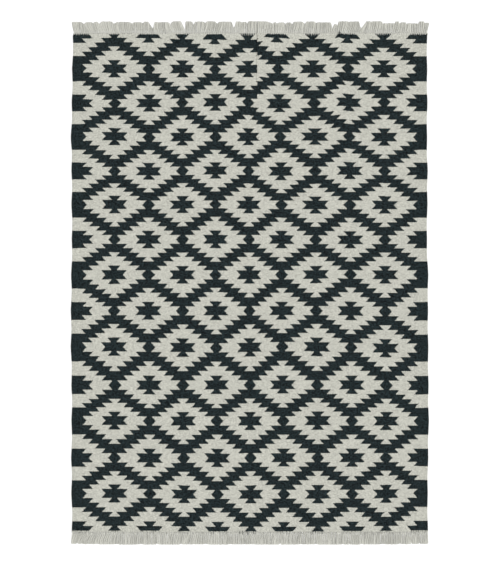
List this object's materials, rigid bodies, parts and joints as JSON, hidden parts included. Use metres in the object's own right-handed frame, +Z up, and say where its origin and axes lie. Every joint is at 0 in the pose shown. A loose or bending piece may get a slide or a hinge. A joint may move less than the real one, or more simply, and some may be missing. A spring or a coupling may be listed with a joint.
{
  "type": "dhurrie rug",
  "caption": "Flat-woven cotton rug with a stepped diamond pattern in charcoal and off-white and a short fringe at both ends, lying flat on the floor.",
  "frame": {"origin": "middle of the whole rug, fringes included, on the floor", "axes": "+X across the rug, +Y along it towards the far fringe, +Z up from the floor"},
  "size_m": [1.7142, 2.5096, 0.0089],
  "materials": {
    "woven_cotton": "matt flat weave, charcoal and natural off-white weft",
    "undyed_cotton": "matt undyed yarn"
  },
  "bodies": {
    "root": {"woven_field": "woven_cotton", "fringe_far": "undyed_cotton", "fringe_near": "undyed_cotton"}
  },
  "joints": []
}
